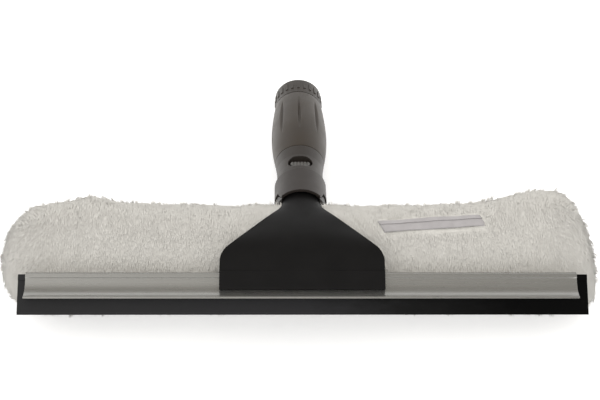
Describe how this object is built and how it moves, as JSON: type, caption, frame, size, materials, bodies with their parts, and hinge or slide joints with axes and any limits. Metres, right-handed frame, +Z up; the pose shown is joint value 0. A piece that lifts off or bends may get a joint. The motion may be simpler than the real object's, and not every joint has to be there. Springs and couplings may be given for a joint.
{
  "type": "window scrubber",
  "caption": "Window scrubber with a fleece sleeve on a T-bar, a rubber squeegee blade in a metal channel on a fan-shaped bracket, and a short fluted handle with a pole socket.",
  "frame": {"origin": "on the surface it lies on, under the middle of the tool's box", "axes": "+X along the blade, to the right of a person who looks from the blade to the handle; +Y from the blade to the handle's end; +Z up, lying on its sleeve and the end of its handle"},
  "size_m": [0.377, 0.217, 0.0605],
  "materials": {
    "collar_plastic": "fine satin texture",
    "core_plastic": "fine satin texture",
    "grip_plastic": "fine satin texture",
    "band_plastic": "fine satin texture",
    "bracket_plastic": "fine satin texture",
    "bar_plastic": "fine satin texture",
    "button_plastic": "satin",
    "spring_steel": "plain",
    "channel_aluminium": "satin anodised",
    "blade_rubber": "matt",
    "fleece": "deep pile",
    "label_satin": "woven satin"
  },
  "bodies": {
    "tool": {"hub_collar": "collar_plastic", "handle_core": "core_plastic", "handle_grip": "grip_plastic", "end_band": "band_plastic", "squeegee_bracket": "bracket_plastic", "channel_clamp": "bracket_plastic", "t_bar": "bar_plastic", "lock_spring": "spring_steel", "blade_channel": "channel_aluminium", "squeegee_rubber": "blade_rubber", "fleece_sleeve": "fleece", "care_label": "label_satin"},
    "button": {"lock_button": "button_plastic"}
  },
  "joints": [
    {"name": "lock_button_press", "type": "slide", "parent": "tool", "child": "button", "axis": [0, -0.1792, -0.9838], "range_m": [0, 0.003], "stiffness_N_per_m": 800, "springref_m": -0.001, "deforming": ["lock_spring"]}
  ]
}
